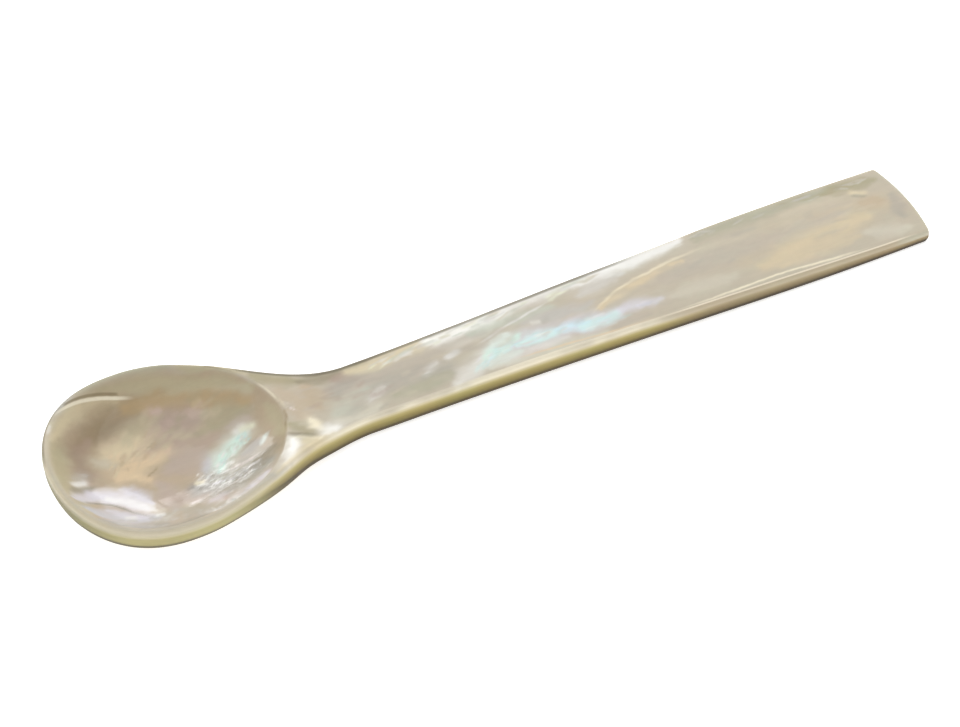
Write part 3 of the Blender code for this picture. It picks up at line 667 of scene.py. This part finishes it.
px, py = plan[:, 0], plan[:, 1]
under_gap = (1.0 - outline_share(px, py)) * np.where(px < WIDEST_X, 14.0, half_width(np.maximum(px, WIDEST_X)))
rim_gap = np.where(kind == UNDER, np.maximum(0.0, np.minimum(under_gap, LENGTH - px)), rim_gap)
on_handle = smooth((px - 20.0) / 16.0)
face_tint = paint((194, 184, 164), FACE_BLOOM, ON_FACE, px, py, 101)
hollow_tint = paint((188, 170, 144), HOLLOW_BLOOM, IN_HOLLOW, px, py, 151)
under_tint = paint((198, 188, 163), [], UNDERNEATH, px, py, 201)

# painted highlight: the near top edge is lightened where it turns over into the wall
near_edge_highlight = smooth((0.44 + 0.2 * smooth((px - 50.0) / 20.0) - rim_gap) / 0.3) * smooth((px - 33.0) / 5.0) * smooth((93.0 - px) / 12.0) * (py < 0.0)
near_edge_highlight = near_edge_highlight * clamp(0.8 + 0.9 * fbm(px * 0.25, py * 0.0, 55, 2))
face_tint += near_edge_highlight[:, None] * (lin((240, 231, 206)) - face_tint)
turned_edge = smooth((0.62 - rim_gap) / 0.4) * smooth((px - 82.0) / 10.0) * (py < 0.0)
face_tint += 0.8 * turned_edge[:, None] * (lin((194, 179, 150)) - face_tint)
soft_rim = smooth((1.15 - rim_gap) / 0.5) * smooth((28.0 - px) / 6.0) * smooth((7.0 - py) / 7.0)
soft_tone = lin((209, 198, 171)) + smooth((rim_gap - 0.15) / 0.35)[:, None] * (lin((182, 174, 154)) - lin((209, 198, 171)))
face_tint += 0.85 * soft_rim[:, None] * (soft_tone - face_tint)

# painted shade: the tip's outer walls that face left, away from the lights, are darkened, darkest at the foot
off = np.hypot(px - WIDEST_X, py) + 1e-6
tip_left_shade = smooth((((WIDEST_X - px) * 0.89 + py * 0.455) / off - 0.1) / 0.75) * smooth((15.0 - px) / 5.0)

# painted shade: a dark line along the outline round the tip's far left and the far rim
contour = smooth((0.38 - rim_gap) / 0.2) * np.maximum(tip_left_shade, 0.6 * smooth((24.0 - px) / 6.0)) * smooth((py - 2.5) / 3.0)
face_tint += 0.7 * contour[:, None] * (lin((124, 117, 94)) - face_tint)

# painted shade: the walls' foot tone runs onto the underside's edge and darkens where the back turns under
foot_tone_and_shade = wall_paint(np.ones(len(px)), px)
turned = smooth((facing - 0.24 + 0.10 * tip_left_shade) / 0.18)[:, None]
foot_tone_and_shade += turned * (lin(BOWL_TURN_SHADE) + on_handle[:, None] * (lin(HANDLE_TURN_SHADE) - lin(BOWL_TURN_SHADE)) - foot_tone_and_shade)
foot_tone_and_shade *= (1.0 - 0.5 * tip_left_shade)[:, None]
under_tint += smooth(1.0 - rim_gap / (3.4 - 1.2 * on_handle))[:, None] * (foot_tone_and_shade - under_tint)

melt = smooth((24.0 - px) / 4.0)                   # round the tip the hollow's colours run out over the lip
inside = np.where(kind == HOLLOW, smooth((rim_gap - LIP) / 0.32), 0.0)
inside = inside + melt * (smooth((rim_gap - 0.25) / 1.25) - inside)
tint = face_tint + inside[:, None] * (hollow_tint - face_tint)
tint = np.where((kind == UNDER)[:, None], under_tint, tint)
blend_in = smooth(depth_share / 0.22)[:, None]
# painted shade: the tip's left walls are darker, most toward the foot
wall_tint = wall_paint(depth_share, px) * (1.0 - tip_left_shade * (0.15 + 0.35 * depth_share))[:, None]
tint = np.where((kind == SIDE)[:, None], face_tint + blend_in * (wall_tint - face_tint), tint)

# polish: dull along worn edges and on the ground walls, full on the faces
open_gap = rim_gap + np.where(kind == HOLLOW, 8.0 * smooth((px - 25.0) / 4.0), 0.0)
in_bowl = smooth((38.0 - px) / 5.0)
start, reach = 0.25 + 0.75 * in_bowl, 1.0 + 1.3 * in_bowl
polish = (0.12 + 0.88 * smooth((open_gap - start) / reach)) * (1.0 - 0.4 * smooth(depth_share / 0.1))

for path, wide in ((GROOVE, 0.24), (NECK_EDGE, 0.55)):
    d, at = line_distance(px, py, path)
    polish = polish * (1.0 - 0.9 * np.exp(-((d / wide) ** 2)) * smooth(at / 0.1) * smooth((1.0 - at) / 0.1))

ledge_d, ledge_s = ledge_field(px, py)
top_only = (kind != UNDER) & (kind != SIDE)
# painted edge light: where the highlight lines along the near edge and round the end, and the dark line along the far
# edge, are laid
masks = np.stack([
    smooth((px - 83.0) / 7.0) * smooth((124.0 - px) / 4.0) * (py < 0.0),         # lower bright line, near edge
    smooth((px - 34.0) / 6.0) * smooth((92.0 - px) / 14.0) * (py < 0.0),         # single bright line, near edge
    smooth((px - 27.5) / 3.0) * smooth((89.0 - px) / 8.0) * (py > 0.0),          # dark line, far edge
    smooth((px - 119.0) / 4.0),                                                   # rim line round the end
], -1)

mesh = bpy.data.meshes.new("spoon_skin")
co = np.c_[(verts[:, 0] - MIDDLE_X), verts[:, 1], verts[:, 2]] * MM
mesh.from_pydata(co.tolist(), [], quads.tolist())
mesh.update()


def store(name, values):
    layer = mesh.attributes.new(name, "FLOAT_COLOR", "POINT")
    layer.data.foreach_set("color", np.ascontiguousarray(values, np.float32).ravel())


ones = np.ones(len(px))
store("nacre_tint", np.c_[np.clip(tint, 0.0, 1.0), ones])
store("nacre_place", np.c_[rim_gap, depth_share, polish, ones])
store("nacre_lines", np.c_[ledge_d, ledge_s * top_only, ridge_window(px, py) * top_only, ones])
store("nacre_edges", masks * (kind != UNDER)[:, None])

bake = mesh.uv_layers.new(name="OFBake")
bake.data.foreach_set("uv", np.ascontiguousarray(layout[quads.ravel()], np.float32).ravel())

spoon = bpy.data.objects.new("spoon_skin", mesh)
bpy.context.scene.collection.objects.link(spoon)

bm = bmesh.new()
bm.from_mesh(mesh)
bmesh.ops.remove_doubles(bm, verts=bm.verts, dist=0.000008)
bmesh.ops.dissolve_degenerate(bm, edges=bm.edges, dist=0.000001)
bmesh.ops.recalc_face_normals(bm, faces=bm.faces)
bm.to_mesh(mesh)
bm.free()
mesh.shade_smooth()

# ---- nacre -------------------------------------------------------------------
mat = bpy.data.materials.new("nacre")
mat.use_nodes = True
tree = mat.node_tree
bsdf = tree.nodes["Principled BSDF"]


def plug(socket, value):
    if isinstance(value, bpy.types.NodeSocket):
        tree.links.new(value, socket)
    else:
        socket.default_value = value


def calc(op, a, b=0.0, c=0.0, clamped=False):
    n = tree.nodes.new("ShaderNodeMath")
    n.operation = op
    n.use_clamp = clamped
    for socket, value in zip(n.inputs, (a, b, c)):
        plug(socket, value)
    return n.outputs[0]


def mix(factor, a, b, how="MIX"):
    n = tree.nodes.new("ShaderNodeMix")
    n.data_type = "RGBA"
    n.blend_type = how
    plug(n.inputs[0], factor)
    plug(n.inputs[6], a)
    plug(n.inputs[7], b)
    return n.outputs[2]


def span(value, low, high, to_low=0.0, to_high=1.0):
    n = tree.nodes.new("ShaderNodeMapRange")
    n.interpolation_type = "SMOOTHSTEP"
    for socket, v in zip(n.inputs, (value, low, high, to_low, to_high)):
        plug(socket, v)
    return n.outputs[0]


def attribute(name):
    n = tree.nodes.new("ShaderNodeAttribute")
    n.attribute_name = name
    return n


def split(socket):
    n = tree.nodes.new("ShaderNodeSeparateColor")
    plug(n.inputs[0], socket)
    return n.outputs


def cloud(vector, scale, detail=4.0, rough=0.55, warp=0.0):
    n = tree.nodes.new("ShaderNodeTexNoise")
    plug(n.inputs["Vector"], vector)
    for key, value in (("Scale", scale), ("Detail", detail), ("Roughness", rough), ("Distortion", warp)):
        n.inputs[key].default_value = value
    return n.outputs[0]


def stretched(vector, scale, turn=(0.0, 0.0, 0.0)):
    n = tree.nodes.new("ShaderNodeMapping")
    plug(n.inputs["Vector"], vector)
    n.inputs["Scale"].default_value = scale
    n.inputs["Rotation"].default_value = turn
    return n.outputs[0]


def grey(v):
    return (v, v, v, 1.0)


def tone(rgb):
    return (*[float(v) for v in lin(rgb)], 1.0)


def bar(gap, at, half):
    """1 on a thin line at a given gap from the outline, 0 away from it."""
    return span(calc("ABSOLUTE", calc("SUBTRACT", gap, at)), half, 0.25 * half)


where = tree.nodes.new("ShaderNodeTexCoord").outputs["Object"]
place, lines, edges = (split(attribute(n).outputs["Color"]) for n in ("nacre_place", "nacre_lines", "nacre_edges"))
end_edge = attribute("nacre_edges").outputs["Alpha"]
gap, depth, polish = place[0], place[1], place[2]
color = attribute("nacre_tint").outputs["Color"]

# drifting pearl hues and fine mottling
drift = cloud(stretched(where, (0.55, 1.0, 1.0), (0.0, 0.0, 0.2)), 260.0, 3.0, 0.6, 0.6)
color = mix(span(drift, 0.42, 0.62, 0.0, 0.10), color, tone((222, 200, 196)), "SOFT_LIGHT")
drift2 = cloud(stretched(where, (0.45, 1.0, 1.0), (0.0, 0.0, -0.35)), 330.0, 3.0, 0.6, 0.8)
color = mix(span(drift2, 0.45, 0.64, 0.0, 0.10), color, tone((190, 222, 208)), "SOFT_LIGHT")
mottle = cloud(stretched(where, (0.7, 1.0, 1.0)), 900.0, 6.0, 0.62, 0.3)
color = mix(1.0, color, mix(span(mottle, 0.3, 0.7), grey(0.982), grey(1.016)), "MULTIPLY")

# growth lines run the length of the spoon
grain = cloud(stretched(where, (0.1, 1.0, 1.6), (0.0, 0.0, 0.06)), 1500.0, 5.0, 0.6, 0.4)
color = mix(1.0, color, mix(span(grain, 0.35, 0.65), grey(0.986), grey(1.012)), "MULTIPLY")

# layers that show on the ground side walls
layers = cloud(stretched(where, (0.03, 0.25, 1.0)), 3200.0, 4.0, 0.6, 0.2)
on_wall = span(depth, 0.02, 0.2)
color = mix(on_wall, color, mix(1.0, color, mix(span(layers, 0.35, 0.65), grey(0.95), grey(1.04)), "MULTIPLY"))

# the layer step on the far wall: painted shade in its undercut and a painted highlight on the lip below it
ledge_gap, ledge_power = lines[0], lines[1]
undercut = calc("MULTIPLY", span(ledge_power, 0.8, 1.0), bar(ledge_gap, -0.19, 0.24))
color = mix(calc("MULTIPLY", undercut, 0.55), color, tone((122, 106, 76)))
bright = calc("MULTIPLY", ledge_power, bar(ledge_gap, 0.14, 0.25))
color = mix(calc("MULTIPLY", bright, 0.95), color, tone((252, 243, 218)))

# crinkled layers in the near right of the hollow: painted shade in the folds and painted highlights on the crests
ridged = lines[2]
folds = cloud(stretched(where, (0.36, 1.0, 1.0), (0.0, 0.0, -0.1)), 1700.0, 3.0, 0.6, 0.8)
crease = calc("MULTIPLY", ridged, span(calc("ABSOLUTE", calc("SUBTRACT", folds, 0.5)), 0.05, 0.0))
color = mix(calc("MULTIPLY", crease, 0.36), color, tone((138, 131, 118)))
crest = calc("MULTIPLY", ridged, span(folds, 0.57, 0.68))
color = mix(calc("MULTIPLY", crest, 0.36), color, tone((238, 237, 230)))

# painted edge light: highlight lines along the near edge and round the end, and a dark reflection line along the far
# edge
on_top = span(depth, 0.3, 0.05)
double_edge = calc("MULTIPLY", bar(gap, 0.40, 0.17), on_top)
color = mix(calc("MULTIPLY", edges[0], calc("MULTIPLY", double_edge, 0.75)), color, tone((250, 239, 216)))
single_edge = calc("MULTIPLY", bar(gap, 0.34, 0.24), on_top)
color = mix(calc("MULTIPLY", edges[1], calc("MULTIPLY", single_edge, 0.25)), color, tone((250, 242, 222)))
far_line = calc("MULTIPLY", span(gap, 0.95, 0.55), on_top)
color = mix(calc("MULTIPLY", edges[2], calc("MULTIPLY", far_line, 0.75)), color, tone((112, 106, 86)))
end_line = calc("MULTIPLY", span(gap, 0.55, 0.25), on_top)
color = mix(calc("MULTIPLY", end_edge, calc("MULTIPLY", end_line, 0.5)), color, tone((205, 206, 188)))

plug(bsdf.inputs["Base Color"], color)
plug(bsdf.inputs["Roughness"], calc("ADD", span(mottle, 0.3, 0.7, 0.30, 0.40), calc("MULTIPLY", calc("SUBTRACT", 1.0, polish), 0.22)))
bsdf.inputs["Metallic"].default_value = 0.0
plug(bsdf.inputs["Coat Weight"], calc("MULTIPLY", polish, 0.65))
bsdf.inputs["Coat Roughness"].default_value = 0.09
bsdf.inputs["Coat IOR"].default_value = 1.55
bsdf.inputs["IOR"].default_value = 1.5
bsdf.inputs["Specular IOR Level"].default_value = 0.25

height = calc("ADD", calc("MULTIPLY", grain, 0.6), calc("MULTIPLY", mottle, 0.5))
height = calc("ADD", height, calc("MULTIPLY", calc("MULTIPLY", folds, ridged), 3.0))
bump = tree.nodes.new("ShaderNodeBump")
bump.inputs["Strength"].default_value = 0.35
bump.inputs["Distance"].default_value = 0.00002
plug(bump.inputs["Height"], height)
plug(bsdf.inputs["Normal"], bump.outputs[0])
mesh.materials.append(mat)

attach(spoon, "root")
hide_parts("spoon")

# ---- floor, light, camera ----------------------------------------------------
bpy.ops.mesh.primitive_plane_add(size=6.0, location=(0.0, 0.0, 0.0))
floor = bpy.context.object
floor.name = "floor"
fmat = bpy.data.materials.new("floor")
fmat.use_nodes = True
fb = fmat.node_tree.nodes["Principled BSDF"]
fb.inputs["Base Color"].default_value = (0.93, 0.93, 0.93, 1.0)
fb.inputs["Roughness"].default_value = 0.9
fb.inputs["Specular IOR Level"].default_value = 0.1
fb.inputs["Emission Color"].default_value = (1.0, 1.0, 1.0, 1.0)
fb.inputs["Emission Strength"].default_value = 0.62
floor.data.materials.append(fmat)

world = bpy.data.worlds.new("studio")
bpy.context.scene.world = world
world.use_nodes = True
world.node_tree.nodes["Background"].inputs["Color"].default_value = (1.0, 1.0, 1.0, 1.0)
world.node_tree.nodes["Background"].inputs["Strength"].default_value = 0.56

CAM_ELEV, CAM_DIST, CAM_TURN = math.radians(46.5), 700.0, math.radians(27.084)
CAM_FOCAL_PX = 7.53 * CAM_DIST
LOOK_X, LOOK_Y = MIDDLE_X - 60.756, -0.459
target = Vector((-LOOK_X, -LOOK_Y, 0.0)) * MM
eye = Vector((-CAM_DIST * math.cos(CAM_ELEV) * math.sin(CAM_TURN) - LOOK_X,
              -CAM_DIST * math.cos(CAM_ELEV) * math.cos(CAM_TURN) - LOOK_Y,
              CAM_DIST * math.sin(CAM_ELEV))) * MM
cam_data = bpy.data.cameras.new("camera")
cam_data.sensor_fit = "HORIZONTAL"
cam_data.sensor_width = 36.0
cam_data.lens = CAM_FOCAL_PX * 36.0 / 960.0
cam_data.clip_start, cam_data.clip_end = 0.01, 50.0
cam = bpy.data.objects.new("camera", cam_data)
bpy.context.scene.collection.objects.link(cam)
cam.location = eye
cam.rotation_euler = (target - eye).to_track_quat("-Z", "Y").to_euler()
bpy.context.scene.camera = cam


def softbox(name, size, power, bearing, height, distance, shape="RECTANGLE"):
    """Area light facing the spoon. bearing: degrees to the right of straight behind it; height: degrees up."""
    data = bpy.data.lights.new(name, "AREA")
    data.shape = shape
    data.size, data.size_y = size
    data.energy = power
    obj = bpy.data.objects.new(name, data)
    bpy.context.scene.collection.objects.link(obj)
    b, h = math.radians(bearing), math.radians(height)
    right, away, up = math.sin(b) * math.cos(h), math.cos(b) * math.cos(h), math.sin(h)
    c, s = math.cos(CAM_TURN), math.sin(CAM_TURN)
    d = Vector((c * right + s * away, -s * right + c * away, up))
    obj.location = target + d * distance
    obj.rotation_euler = (-d).to_track_quat("-Z", "Y").to_euler()
    return obj


for step, (wide, high, power) in enumerate([(0.60, 0.46, 1.36), (0.50, 0.38, 1.17), (0.40, 0.30, 0.74), (0.28, 0.21, 0.29)]):
    softbox("back key %d" % (step + 1), (wide, high), power, 6.5, 20.3, 1.0, "ELLIPSE")     # a soft-edged oval
softbox("top fill", (1.6, 1.6), 6.6, 0.0, 89.0, 1.2)
softbox("left card", (0.5, 0.4), 1.9, -30.0, 26.0, 1.0)

bpy.context.scene.view_settings.view_transform = "Standard"
bpy.context.scene.view_settings.look = "None"
